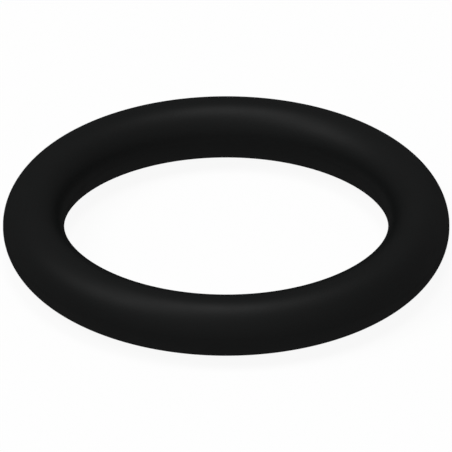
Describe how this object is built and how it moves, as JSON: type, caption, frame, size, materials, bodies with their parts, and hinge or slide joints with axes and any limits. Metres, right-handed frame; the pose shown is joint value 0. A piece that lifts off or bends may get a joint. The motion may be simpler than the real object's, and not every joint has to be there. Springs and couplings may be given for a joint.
{
  "type": "rubber o-ring",
  "caption": "Moulded rubber ring with a round section. Squeezed in a groove, it seals the gap between a shaft and a bore or between two flat faces.",
  "frame": {"origin": "centre of the ring, on its axis and in its middle plane", "axes": "+Z along the ring's axis, upwards as the ring lies flat; +X and +Y are across it and alike, because the ring is round"},
  "size_m": [0.0256, 0.0256, 0.0036],
  "materials": {
    "nitrile_rubber": "matte"
  },
  "bodies": {
    "root": {"o_ring": "nitrile_rubber"}
  },
  "joints": []
}
